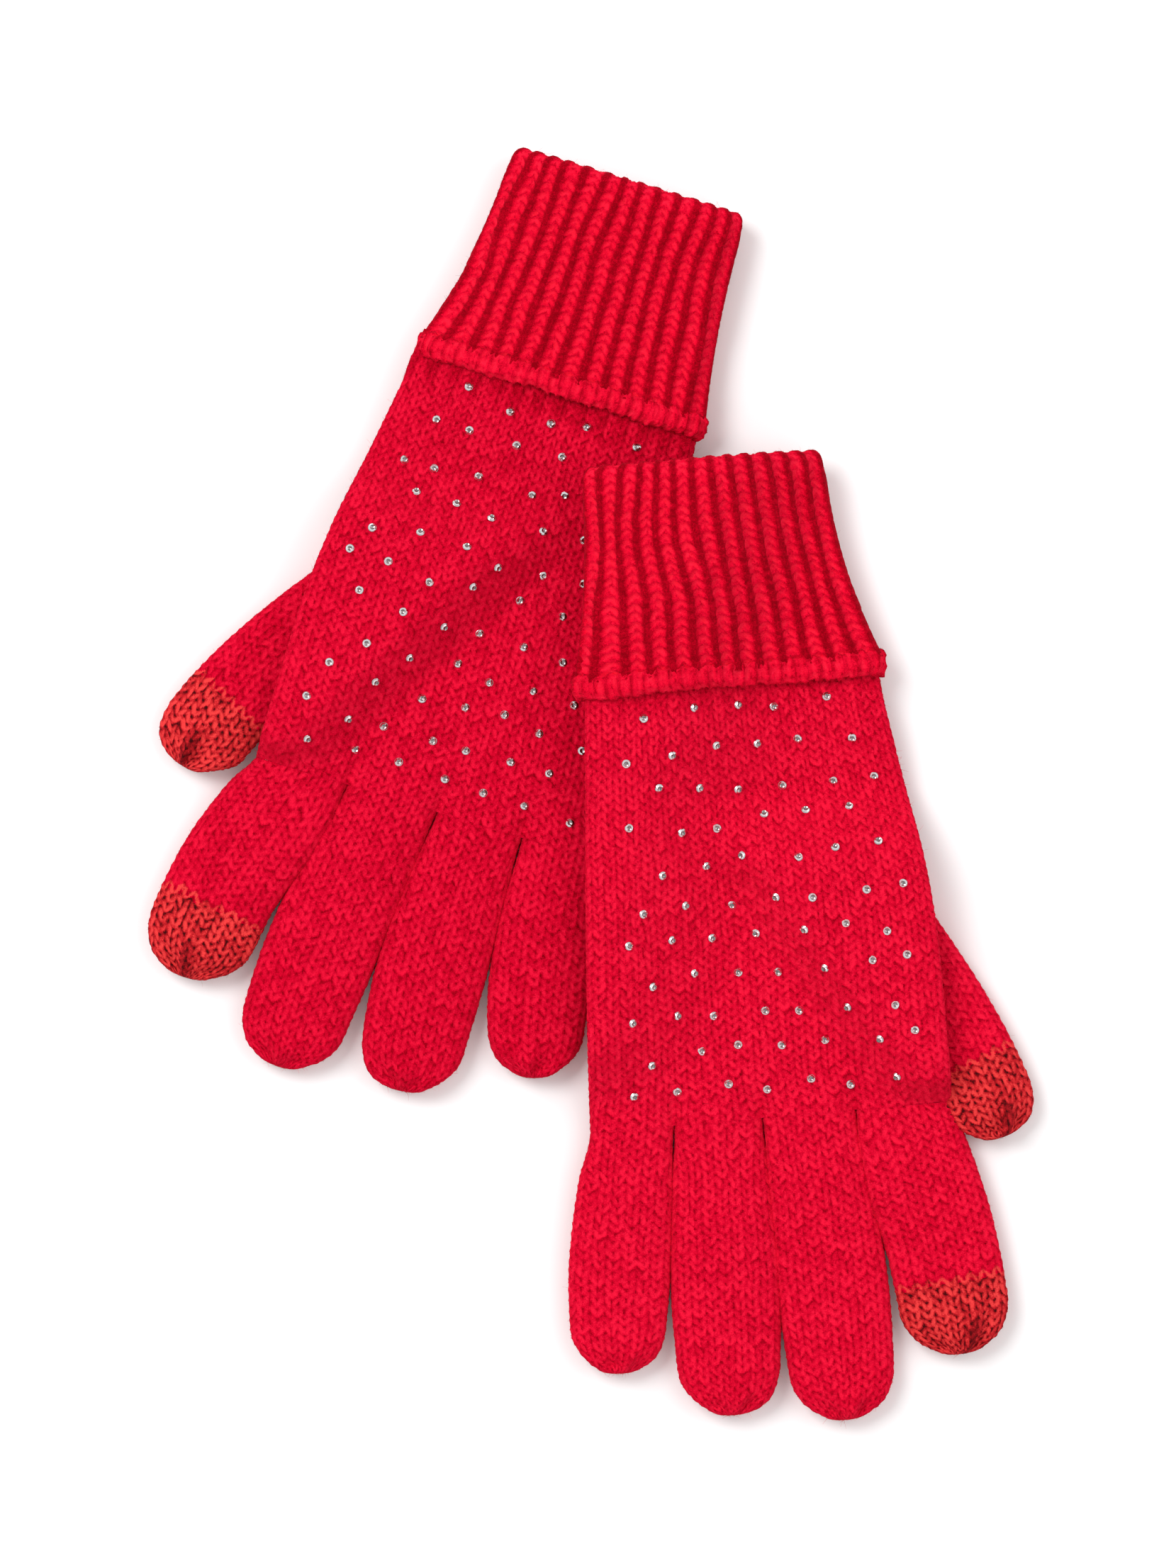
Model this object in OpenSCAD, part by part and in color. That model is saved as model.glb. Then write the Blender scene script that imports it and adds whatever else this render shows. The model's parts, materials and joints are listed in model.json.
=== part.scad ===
// A pair of knitted gloves with conductive tips on the thumbs and index fingers.
// Each glove is drawn once in its own frame: X to the thumb side, +Y to the cuff,
// the knuckle line on Y = 0 and the table on Z = 0. The left glove is the mirror
// image, with its own finger directions, and lies partly under the right one.

/* [Hand] */
// Width of the hand across the knuckles
hand_w = 96; // [80:1:115]
// Width of the hand where the cuff begins
wrist_w = 78; // [62:0.5:92]
// Length from the knuckle line to the start of the cuff
hand_len = 112; // [92:1:130]
// Thickness of the hand and fingers as they lie flat
hand_t = 9.6; // [8.8:0.2:13]
// Wall of the plain knit
knit_wall = 2; // [1.6:0.1:2.2]

/* [Fingers] */
// Little finger, knuckle line to tip
little_len = 64; // [50:1:80]
// Ring finger, knuckle line to tip
ring_len = 77; // [60:1:92]
// Middle finger, knuckle line to tip
middle_len = 81; // [62:1:97]
// Index finger, knuckle line to tip
index_len = 67; // [52:1:80]
// Width of the little finger
little_w = 24.4; // [20:0.2:26]
// Width of the ring finger
ring_w = 26; // [21:0.2:27]
// Width of the middle finger
middle_w = 26.8; // [22:0.2:28]
// Width of the index finger
index_w = 28; // [22:0.2:30]
// Gap between neighbouring fingers at the knuckle line
finger_gap = 0.7; // [0.4:0.1:1.5]
// Gap between the hand and the hinged end of a finger
hinge_gap = 0.6; // [0.4:0.1:1.5]

/* [Thumb] */
// Length of the thumb tube from its root in the palm
thumb_len = 68; // [56:1:84]
// Width of the thumb
thumb_w = 22.5; // [20:0.5:26]
// Thickness of the thumb as it lies flat
thumb_t = 8.8; // [8.6:0.1:11]
// Distance of the thumb root from the knuckle line
thumb_root_y = 52; // [44:1:60]
// Distance of the thumb root from the middle of the hand
thumb_root_x = 32; // [24:1:34]

/* [Touch tips] */
// Length of the conductive knit on the index finger
index_touch = 20.5; // [14:0.5:26]
// Length of the conductive knit on the thumb
thumb_touch = 22; // [14:0.5:28]

/* [Cuff] */
// How late the turned-back rib flares out toward its hem
cuff_flare = 2.1; // [1.2:0.1:3]
// Length of the folded cuff
cuff_len = 62; // [46:1:74]
// Width at the folded top edge
cuff_top_w = 64; // [54:1:74]
// Width of the turned-back rib just above its hem
cuff_hem_w = 80.6; // [78:0.5:90]
// Wall of the inner rib tube
rib_wall = 2; // [1.6:0.1:2.1]
// Wall of the turned-back rib
turnback_wall = 2.2; // [1.6:0.1:3]
// Thickness of the inner rib tube as it lies flat
cuff_t = 8.4; // [8.2:0.2:10]
// Height of the bound edge along the cuff
hem_h = 5.2; // [4:0.2:7]
// How far the bound edge stands out from the inner tube
hem_wall = 3.2; // [2.6:0.1:4]
// Gap between the layers of the cuff
layer_gap = 0.4; // [0.15:0.05:0.5]

/* [Stones] */
// Diameter of a stone
stone_d = 2; // [1.5:0.1:3]
// Height of a stone
stone_h = 0.8; // [0.5:0.1:1.2]
// Distance between neighbouring stones
stone_pitch = 11.6; // [9.5:0.1:16]
// Diameter of the glue disc under a stone
pad_d = 2.3; // [1.8:0.1:3.4]
// Thickness of the glue disc
pad_h = 0.25; // [0.15:0.05:0.4]

/* [Layout] */
// Turn of the right glove on the table
right_turn = 5.15; // [-10:0.5:15]
// Turn of the left glove on the table
left_turn = -16.9; // [-30:0.5:0]
// Middle of the right glove's knuckle line, along X
right_x = 46.62; // [44:0.01:70]
// Middle of the right glove's knuckle line, along Y
right_y = -88.184; // [-120:0.002:-60]
// Middle of the left glove's knuckle line, along X
left_x = -43.58; // [-70:0.01:-38]
// Middle of the left glove's knuckle line, along Y
left_y = -6.884; // [-30:0.002:20]
// How much shorter the left glove's slack fingers lie
left_slack = 4.5; // [0:0.5:8]
// Air between the two gloves where one lies on the other
pair_gap = 0.5; // [0.3:0.1:2]

/* [Hidden] */

LEFT = 0;
RIGHT = 1;
half_t = hand_t / 2;
half_hand = hand_w / 2;
half_wrist = wrist_w / 2;
wrist_x = -0.2;
cuff_start = hand_len;
cuff_end = hand_len + cuff_len;
cuff_top_x = -2.6;
hem_start = cuff_start + 2;
turnback_start = hem_start + hem_h + 0.1;
fold_h = turnback_wall;
half_cuff = cuff_t / 2;
hem_half_t = half_cuff + layer_gap + hem_wall;
cuff_z = hem_half_t;
shoulder = 2.4;
hand_front = half_t + hinge_gap;
stone_seat = 0.42;
stand_h = stone_seat + pad_h + stone_h + 0.1;
knit_red = [0.86, 0.04, 0.16];
rib_red = [0.8, 0.03, 0.14];
touch_red = [0.68, 0.16, 0.13];
EPS = 0.02;

// A value that eases from 0 to 1 between two limits.
function ease(lo, hi, v) = let (t = min(1, max(0, (v - lo) / (hi - lo)))) t * t * (3 - 2 * t);
function total(list) = list * [for (i = list) 1];

// ---- Outline of the hand and the cuff ----
function little_edge(v) = -half_hand + (half_hand + wrist_x - half_wrist) * pow(max(0, v) / hand_len, 1.2);
function thumb_edge(v) = half_hand + (wrist_x + half_wrist - half_hand) * ease(38, hand_len + 36, v) / ease(38, hand_len + 36, hand_len);
function cuff_x(v) = wrist_x + (cuff_top_x - wrist_x) * (v - cuff_start) / cuff_len;
function turnback_hw(v) = cuff_top_w / 2 + (cuff_hem_w - cuff_top_w) / 2 * pow(max(0, 1 - (v - turnback_start) / (cuff_end - turnback_start)), cuff_flare);
function cuff_hw(v) = v < turnback_start
    ? half_wrist + (turnback_hw(turnback_start) - turnback_wall - layer_gap - half_wrist) * (v - cuff_start) / (turnback_start - cuff_start)
    : turnback_hw(v) - turnback_wall - layer_gap;

// ---- How high each place lies above the table ----
// The hand rises into the thicker cuff.
function rise_to_cuff(v) = (cuff_z - half_t) * ease(hand_len - 32, hand_len - 9, v);
// The thumb side of the hand lies on the thumb.
function thumb_inner(v) = 46 - 0.6 * (v - 5);
function over_thumb(u, v) = (thumb_t + 0.5) * ease(thumb_inner(v) - 21, thumb_inner(v) - 2, u) * ease(-4, 7, v) * (1 - ease(thumb_root_y + 13, thumb_root_y + 36, v));
// The little finger side of the right glove lies on the left glove.
function left_glove_edge(v) = -59.2 + 0.316 * v;
function over_left(u, v) = (hand_t + stand_h + pair_gap + (cuff_z - half_t) * 1.25 * ease(hand_len + 4, hand_len + 34, v))
    * (1 - ease(left_glove_edge(v) + 2, left_glove_edge(v) + 40, u)) * ease(1, 27, v);
function lift(side, u, v) = rise_to_cuff(v) + over_thumb(u, v) + (side == RIGHT ? over_left(u, v) : 0);

// ---- Rings and skins ----
// Points round a flattened tube: two flats and two half circles, [across, up].
function ring(hw, ht, nf, na) = concat(
    [for (i = [0:nf - 1]) [(hw - ht) * (1 - 2 * i / nf), ht]],
    [for (i = [0:na - 1]) let (a = 90 + 180 * i / na) [-(hw - ht) + ht * cos(a), ht * sin(a)]],
    [for (i = [0:nf - 1]) [(hw - ht) * (2 * i / nf - 1), -ht]],
    [for (i = [0:na - 1]) let (a = -90 + 180 * i / na) [hw - ht + ht * cos(a), ht * sin(a)]]);

// A closed skin through rings of equal count: a loop, or a bag closed at both ends.
module skin(rings, loop = false) {
    n = len(rings[0]);
    k = len(rings);
    ends = loop ? [] : [total_point(rings[0]) / n, total_point(rings[k - 1]) / n];
    polyhedron(points = concat([for (r = rings) each r], ends), faces = concat(
        [for (i = [0:k - (loop ? 1 : 2)], j = [0:n - 1])
            let (a = i * n + j, b = i * n + (j + 1) % n, c = ((i + 1) % k) * n + (j + 1) % n, d = ((i + 1) % k) * n + j)
            each [[a, b, c], [a, c, d]]],
        loop ? [] : [for (j = [0:n - 1]) [k * n, (j + 1) % n, j]],
        loop ? [] : [for (j = [0:n - 1]) [k * n + 1, (k - 1) * n + j, (k - 1) * n + (j + 1) % n]]));
}
function total_point(pts) = [for (a = [0:2]) total([for (p = pts) p[a]])];

// ---- Hand ----
function hand_ht(v) = half_t + (half_cuff - half_t) * ease(hand_len - 32, hand_len - 9, v);
hand_nf = 16;
hand_rings = 17;
hand_step = (hand_len - hand_front) / hand_rings;
function hand_mid(v) = (little_edge(v) + thumb_edge(v)) / 2;
function hand_hw(v) = (thumb_edge(v) - little_edge(v)) / 2;
function hand_ring(side, v, inset) = let (pts = ring(hand_hw(v) - inset, hand_ht(v) - inset, hand_nf, 6))
    [for (p = pts) [hand_mid(v) + p[0], v, half_t + lift(side, hand_mid(v) + p[0], v) + p[1]]];

module hand(side) color(knit_red) {
    stations = [for (i = [0:hand_rings]) hand_front + hand_step * i];
    skin(concat([for (v = stations) hand_ring(side, v, 0)],
                [for (i = [hand_rings:-1:0]) hand_ring(side, stations[i], knit_wall)]), loop = true);
}

// Height of the faceted back of the hand.
function facet_z(side, v, k) = let (u = hand_mid(v) + (hand_hw(v) - hand_ht(v)) * (2 * k / hand_nf - 1))
    half_t + hand_ht(v) + lift(side, u, v);
function station_z(side, v, f) = let (k = min(hand_nf - 1, floor(f))) facet_z(side, v, k) * (1 - f + k) + facet_z(side, v, k + 1) * (f - k);
function back_z(side, u, v) = let (
    f = min(hand_nf, max(0, (1 + (u - hand_mid(v)) / (hand_hw(v) - hand_ht(v))) * hand_nf / 2)),
    i = floor((v - hand_front) / hand_step), a = hand_front + hand_step * i, t = (v - a) / hand_step)
    station_z(side, a, f) * (1 - t) + station_z(side, min(hand_len, a + hand_step), f) * t;

// ---- Fingers and thumb ----
// A digit: [x, y, first heading, last heading, bend power, length, half width at the root, half width, half thickness].
finger_x = [-37, -14.1, 9.8, 35.4] * hand_w / 96;
base_hw = [for (i = [0:3]) let (
    left = i == 0 ? -half_hand : (finger_x[i - 1] + finger_x[i]) / 2,
    right = i == 3 ? half_hand : (finger_x[i] + finger_x[i + 1]) / 2)
    min(finger_x[i] - left, right - finger_x[i]) - finger_gap / 2];
headings = [[[-4.5, -17], [3.7, -7], [10.6, 0.5], [22.5, 0], [38, 15]], [[-12, -4], [-2.5, -3], [3.5, -0.5], [12.6, 2], [34, 15]]];
LITTLE = 0;
RINGF = 1;
MIDDLE = 2;
INDEX = 3;
THUMB = 4;
lengths = [for (slack = [left_slack, 0]) [little_len - slack, ring_len - slack, middle_len - slack, index_len - slack, thumb_len]];
widths = [little_w, ring_w, middle_w, index_w, thumb_w];
function digit(side, k) = k == THUMB
    ? [thumb_root_x, thumb_root_y, headings[side][k][0], headings[side][k][1], 2, lengths[side][k], thumb_w / 2, thumb_w / 2, thumb_t / 2]
    : [finger_x[k], 0, headings[side][k][0], headings[side][k][1], 1.3, lengths[side][k], min(base_hw[k], widths[k] / 2), widths[k] / 2, half_t];
function heading(d, s) = d[2] + (d[3] - d[2]) * pow(max(0, s) / d[5], d[4]);
STEPS = 16;
function along(d, s) = s <= 0 ? [d[0], d[1] - s] : let (
    hs = [for (i = [0:STEPS - 1]) heading(d, s * (i + 0.5) / STEPS)])
    [d[0] + s / STEPS * total([for (h = hs) sin(h)]), d[1] - s / STEPS * total([for (h = hs) cos(h)])];
function across(d, s) = d[1] == 0 ? heading(d, s) * ease(0, 16, s) : heading(d, s);
// The tip closes like an ellipse, over a length a little less than half the width.
function tip_r(d) = d[7] * 0.92;
function tip_fill(d, s) = let (t = max(0, (s - d[5] + tip_r(d)) / tip_r(d))) sqrt(max(0, 1 - t * t));
function digit_hw(d, s) = (d[6] + (d[7] - d[6]) * ease(2, d[5] * 0.6, s)) * max(0.1, tip_fill(d, s));
function digit_ht(d, s) = s < 0 ? sqrt(d[8] * d[8] - s * s) : d[8] * max(0.25, pow(tip_fill(d, s), 0.55));
function digit_ring(d, s, inset, nf = 4, na = 6) = let (
    c = along(d, s), h = across(d, s), hw = digit_hw(d, s) - inset,
    ht = min(digit_ht(d, s) - inset, hw * 0.95),
    pts = ring(hw, ht, nf, na))
    [for (p = pts) [c[0] + p[0] * cos(h), c[1] + p[0] * sin(h), d[8] + p[1]]];

function tube_stations(from, to, n) = [for (i = [0:n]) from + (to - from) * i / n];
function tip_stations(d, from) = concat(tube_stations(from, d[5] - tip_r(d), 2),
    [for (a = [26, 48, 66, 80]) d[5] - tip_r(d) * (1 - sin(a))]);

// An open tube of knit along a digit.
module digit_tube(d, from, to, n) {
    s = concat(from < 0 ? [from] : [], tube_stations(max(0, from), to, n));
    k = len(s) - 1;
    skin(concat([for (v = s) digit_ring(d, v, 0)], [for (i = [k:-1:0]) digit_ring(d, s[i], knit_wall)]), loop = true);
}

// The closed end of a digit, from a station to the tip.
module digit_tip(d, from, n = 0) {
    s = concat(from < 0 ? [from] : [], n > 0 ? tube_stations(max(0, from), d[5] - tip_r(d) * 1.6, n) : [],
               tip_stations(d, n > 0 ? d[5] - tip_r(d) * 1.3 : from));
    k = len(s) - 1;
    inner = [for (v = s) min(v, d[5] - knit_wall - 1.5)];
    skin(concat([for (i = [k:-1:0]) digit_ring(d, s[i], 0)],
                [for (i = [0:k - 2]) digit_ring(d, s[i], knit_wall)]));
}

module finger(side, k) color(knit_red) digit_tip(digit(side, k), -shoulder, 6);
module index_finger(side) color(knit_red)
    let (d = digit(side, INDEX)) digit_tube(d, -shoulder, d[5] - index_touch - EPS, 6);
module index_touch_tip(side) color(touch_red)
    let (d = digit(side, INDEX)) digit_tip(d, d[5] - index_touch);
module thumb(side) color(knit_red)
    let (d = digit(side, THUMB)) digit_tube(d, 0, d[5] - thumb_touch - EPS, 7);
module thumb_touch_tip(side) color(touch_red)
    let (d = digit(side, THUMB)) digit_tip(d, d[5] - thumb_touch);

// ---- Cuff ----
function cuff_ring(side, v, x, hw, ht) = [for (p = ring(hw, ht, 12, 6))
    [x + p[0], v, cuff_z + lift(side, x + p[0], v) - rise_to_cuff(v) + p[1]]];

module cuff(side) color(rib_red) {
    top = cuff_end - fold_h - EPS;
    s = concat([cuff_start + EPS], tube_stations(turnback_start, top, 6));
    skin(concat([for (v = s) cuff_ring(side, v, cuff_x(v), cuff_hw(v), half_cuff)],
                [for (i = [7:-1:0]) cuff_ring(side, s[i], cuff_x(s[i]), cuff_hw(s[i]) - rib_wall, half_cuff - rib_wall)]), loop = true);
}

module cuff_turnback(side) color(rib_red) {
    top = cuff_end - fold_h;
    s = tube_stations(turnback_start, top, 6);
    outer = half_cuff + layer_gap + turnback_wall;
    soft = turnback_wall * 0.35;
    skin(concat(
        [for (v = s) cuff_ring(side, v, cuff_x(v), turnback_hw(v), outer)],
        [cuff_ring(side, cuff_end - soft, cuff_x(cuff_end), turnback_hw(cuff_end) - soft, outer - soft),
         cuff_ring(side, cuff_end, cuff_x(cuff_end), turnback_hw(cuff_end) - 2 * soft, outer - 2 * soft),
         cuff_ring(side, cuff_end, cuff_x(cuff_end), cuff_hw(cuff_end) - rib_wall + soft, half_cuff - rib_wall + soft),
         cuff_ring(side, top, cuff_x(top), cuff_hw(top) - rib_wall, half_cuff - rib_wall),
         cuff_ring(side, top, cuff_x(top), cuff_hw(top) + layer_gap, half_cuff + layer_gap)],
        [for (i = [5:-1:0]) cuff_ring(side, s[i], cuff_x(s[i]), cuff_hw(s[i]) + layer_gap, half_cuff + layer_gap)]), loop = true);
}

hem_hw = max(cuff_hw(hem_start), cuff_hw(hem_start + hem_h)) + layer_gap + 0.25;
function hem_ring(side, v, out) = cuff_ring(side, hem_start + v * hem_h, cuff_x(hem_start), hem_hw + out * hem_wall, half_cuff + layer_gap + out * hem_wall);
hem_profile = [[0.12, 0], [0, 0.45], [0.2, 0.9], [0.5, 1], [0.85, 0.85], [1, 0.5], [1, 0]];

module cuff_hem(side) color(rib_red) skin([for (p = hem_profile) hem_ring(side, p[0], p[1])], loop = true);

// ---- Stones ----
// Rows are staggered, and every stone is a little out of place.
row_pitch = stone_pitch * 0.86;
first_row = hand_front + 3;
rows = floor((hand_len - first_row - 3) / row_pitch) + 1;
columns = ceil(half_hand / stone_pitch);
function spot(side, i, j) = let (r = rands(-1, 1, 2, 100 * j + i + 37 * side + 11))
    [(i + (j % 2) / 2) * stone_pitch + 1.8 * r[0], first_row + row_pitch * j + 1.8 * r[1]];
edge_in = half_t + pad_d / 2 + 0.4;
spots = [for (side = [LEFT, RIGHT]) [for (j = [0:rows - 1], i = [-columns:columns])
    let (p = spot(side, i, j)) if (p[0] > little_edge(p[1]) + edge_in + 2 && p[0] < thumb_edge(p[1]) - edge_in
        && p[1] > hand_front + pad_d / 2 + 0.3 && p[1] < hand_len - pad_d / 2 - 0.3) p]];
function slope_x(side, p) = atan((back_z(side, p[0] + 1.2, p[1]) - back_z(side, p[0] - 1.2, p[1])) / 2.4);
function slope_y(side, p) = atan((back_z(side, p[0], p[1] + 1.2) - back_z(side, p[0], p[1] - 1.2)) / 2.4);

// Places a child on the back of the hand at a point, square to the knit.
module on_back(side, p, up) translate([p[0], p[1], back_z(side, p[0], p[1])])
    rotate([slope_y(side, p), -slope_x(side, p), 0]) translate([0, 0, stone_seat + up]) children();

module crystals(side) color([0.9, 0.92, 0.95]) for (p = spots[side]) on_back(side, p, pad_h + EPS) {
    linear_extrude(stone_h * 0.35) circle(d = stone_d, $fn = 8);
    translate([0, 0, stone_h * 0.35]) linear_extrude(stone_h * 0.65) circle(d = stone_d * 0.7, $fn = 8);
}

module crystal_pads(side) color([0.55, 0.55, 0.58]) for (p = spots[side]) on_back(side, p, 0)
    linear_extrude(pad_h) circle(d = pad_d, $fn = 32);

// ---- The two gloves on the table ----
module left() translate([left_x, left_y, 0]) rotate([0, 0, left_turn]) mirror([1, 0, 0]) children();
module right() translate([right_x, right_y, 0]) rotate([0, 0, right_turn]) children();

left() hand(LEFT);  // left_hand
left() index_finger(LEFT);  // left_index_finger
left() finger(LEFT, MIDDLE);  // left_middle_finger
left() finger(LEFT, RINGF);  // left_ring_finger
left() finger(LEFT, LITTLE);  // left_little_finger
left() thumb(LEFT);  // left_thumb
left() index_touch_tip(LEFT);  // left_index_touch_tip
left() thumb_touch_tip(LEFT);  // left_thumb_touch_tip
left() cuff(LEFT);  // left_cuff
left() cuff_turnback(LEFT);  // left_cuff_turnback
left() cuff_hem(LEFT);  // left_cuff_hem
left() crystals(LEFT);  // left_crystals
left() crystal_pads(LEFT);  // left_crystal_pads
right() hand(RIGHT);  // right_hand
right() index_finger(RIGHT);  // right_index_finger
right() finger(RIGHT, MIDDLE);  // right_middle_finger
right() finger(RIGHT, RINGF);  // right_ring_finger
right() finger(RIGHT, LITTLE);  // right_little_finger
right() thumb(RIGHT);  // right_thumb
right() index_touch_tip(RIGHT);  // right_index_touch_tip
right() thumb_touch_tip(RIGHT);  // right_thumb_touch_tip
right() cuff(RIGHT);  // right_cuff
right() cuff_turnback(RIGHT);  // right_cuff_turnback
right() cuff_hem(RIGHT);  // right_cuff_hem
right() crystals(RIGHT);  // right_crystals
right() crystal_pads(RIGHT);  // right_crystal_pads
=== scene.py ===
"""A pair of knitted touchscreen gloves, backs up, the right glove lying on the left one.

Each glove is worked out in its own frame, in millimetres: u to the thumb side, v to the
cuff with 0 on the knuckle line, z up from the table. Glove.place() takes it to the row frame."""

import json
import math

import bpy
import numpy as np
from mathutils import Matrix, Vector


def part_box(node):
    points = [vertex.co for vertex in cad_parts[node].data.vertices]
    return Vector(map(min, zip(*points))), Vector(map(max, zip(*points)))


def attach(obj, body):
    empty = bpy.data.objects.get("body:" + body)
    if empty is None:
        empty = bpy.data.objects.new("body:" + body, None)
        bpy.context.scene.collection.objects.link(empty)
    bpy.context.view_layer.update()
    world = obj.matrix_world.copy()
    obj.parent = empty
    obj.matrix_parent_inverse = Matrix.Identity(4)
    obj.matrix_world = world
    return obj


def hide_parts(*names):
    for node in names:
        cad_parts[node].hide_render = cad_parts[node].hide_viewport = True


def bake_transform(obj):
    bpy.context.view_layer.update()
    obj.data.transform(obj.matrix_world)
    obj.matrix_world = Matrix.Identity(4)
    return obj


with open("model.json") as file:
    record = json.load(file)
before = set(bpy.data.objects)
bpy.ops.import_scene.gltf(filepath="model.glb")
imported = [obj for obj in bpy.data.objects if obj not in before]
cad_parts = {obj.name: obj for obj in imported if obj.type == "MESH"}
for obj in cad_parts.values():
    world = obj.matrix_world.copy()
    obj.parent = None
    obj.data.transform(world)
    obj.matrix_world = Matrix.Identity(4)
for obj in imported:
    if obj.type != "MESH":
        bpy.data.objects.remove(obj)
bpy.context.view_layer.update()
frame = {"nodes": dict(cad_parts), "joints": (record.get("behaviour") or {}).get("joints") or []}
JOINTS = {j["name"]: j for j in frame["joints"]}
MM = 0.001
SIDES = ("left", "right")

# ---- Sizes, in millimetres and degrees ----
WALE = 3.6  # width of a stitch
COURSE = 2.34  # height of a row of stitches
FINGER_COURSE = 2.46  # the same on the fingers and thumbs
RIB_COURSE = 2.42  # the same on the ribs
YARN = 0.55  # how far a stitch stands out
ACROSS = 8  # mesh columns a stitch
ALONG = 6  # mesh rows a stitch
SECTION = 240  # steps round the outline of a section
CREASE = 13.0  # how far the creases between fingers run into the hand
RIBS = 27  # ribs round a cuff
HEM_H = 6.4  # height of the bound edge
HEM_T = 3.0  # its thickness
UNDER_CUFF = 9.0  # how far the hand runs on under the turned-back rib
THUMB_LENGTH = 68.5
THUMB_RUN_IN = 9.0  # how far the thumb's knit starts inside the hand
THUMB_EDGE, THUMB_SLOPE = 46, 0.6  # inner edge of the thumb, under the hand
LEFT_EDGE, LEFT_SLOPE = -59.2, 0.316  # edge of the left glove, seen from the right one
LEFT_GAP = 2.07  # what the right glove keeps over the left one's thickness
INDEX_RAISE, INDEX_SHIFT = 1.3, 2.2  # how the index finger lies on the middle one
FACETS = 16  # corners round a stone
FINGERS = ("little", "ring", "middle", "index")
# Stitches over the back of each digit, and down one flank of it.
KNIT_GAUGE = {"little": (6, 2), "ring": (6, 3), "middle": (7, 2), "index": (7, 2), "thumb": (6, 2)}
# Headings at the root and the tip on the left glove, then on the right one, and the width.
HEADINGS = {
    "little": ((-4.5, -17), (-12, -4), 24.8),
    "ring": ((3.7, -7), (-2.5, -3), 26.8),
    "middle": ((10.6, 0.5), (3.5, -0.5), 27.4),
    "index": ((22.5, 0), (12.6, 2), 28.8),
    "thumb": ((37.5, 14), (30.5, 12), 24.8),
}
TOUCH = {"index": 20.5, "thumb": 22.5}  # length of the conductive knit


def ease(lo, hi, x):
    """Smooth step from 0 at lo to 1 at hi."""
    t = np.clip((np.asarray(x, float) - lo) / (hi - lo), 0, 1)
    return t * t * (3 - 2 * t)


def cell_random(i, j, seed):
    """A number from -1 to 1 that stays the same for each cell and seed."""
    h = np.sin(i * 127.1 + j * 311.7 + seed * 74.7) * 43758.5453
    return 2 * (h - np.floor(h)) - 1


def noise(x, y, seed):
    """Smooth value noise from -1 to 1."""
    i, j = np.floor(x), np.floor(y)
    fx, fy = x - i, y - j
    fx, fy = fx * fx * (3 - 2 * fx), fy * fy * (3 - 2 * fy)
    a = cell_random(i, j, seed) * (1 - fx) + cell_random(i + 1, j, seed) * fx
    b = cell_random(i, j + 1, seed) * (1 - fx) + cell_random(i + 1, j + 1, seed) * fx
    return a * (1 - fy) + b * fy


# ---- Stitches ----
def plain_knit(w, c, seed, lean=0.46, half_len=1.9, half_wid=0.77, wander=1.0):
    """Height from 0 to 1.2 of plain knit, the course and a random number of the stitch on top.

    w counts stitches across and c counts rows; the Vs point to growing c."""
    w = w + wander * (0.11 * noise(w * 0.8, c * 0.55, seed) + 0.07 * noise(w * 2.3, c * 1.6, seed + 1))
    c = c + wander * (0.2 * noise(w * 0.6 + 40, c * 0.4, seed + 2) + 0.1 * noise(w * 2.1, c * 1.1, seed + 3))
    column = np.floor(w)
    p = w - column
    right = p >= 0.5
    x = np.where(right, 0.75 - p, p - 0.25) * WALE
    leg = column * 2 + right
    best = np.full(w.shape, -1.0)
    course = np.zeros(w.shape)
    luck = np.zeros(w.shape)
    for k in (-1, 0, 1):
        row = np.floor(c) + k
        r = cell_random(leg, row, seed + 5)
        y = (c - row - 0.5 + 0.1 * r) * COURSE
        tilt = lean + 0.15 * cell_random(leg, row, seed + 6)
        along = y * np.cos(tilt) + x * np.sin(tilt)
        across = x * np.cos(tilt) - y * np.sin(tilt)
        h = np.sqrt(np.clip(1 - (along / half_len) ** 2 - (across / half_wid) ** 2, 0, None))
        h = h * (1 + 0.16 * r) * (1 + 0.12 * along / half_len)
        top = h > best
        best, course, luck = np.where(top, h, best), np.where(top, row, course), np.where(top, r, luck)
    return np.clip(best, 0, 1.2), course, luck


def rib_knit(w, c, seed):
    """Height of one-by-one rib: a raised braid and a sunk column in every unit of w."""
    w = w + 0.27 * noise(w * 0.4, c * 0.13, seed) + 0.04 * noise(w * 1.3, c * 0.7, seed + 9)
    p = w - np.floor(w)
    share = 0.74  # share of a rib that the raised braid takes
    q = np.clip(p / share, 0.001, 0.999)
    stitch = np.floor(w) * 7 + q
    braid, _, luck = plain_knit(stitch, c, seed, lean=0.66, half_len=1.75, half_wid=0.66, wander=0.9)
    dome = np.where(p < share, np.sin(np.pi * q), 0.0) ** 0.5
    d = np.clip((p - share) / (1 - share), 0, 1)
    beat = np.cos(2 * np.pi * (c - 0.25 + 0.2 * noise(w, c, seed + 4)))
    bar = 0.13 * np.clip(beat, 0, 1) * np.sin(np.pi * d)
    return np.maximum(dome * (0.46 + 0.52 * braid), 0.06 + bar), luck


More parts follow.
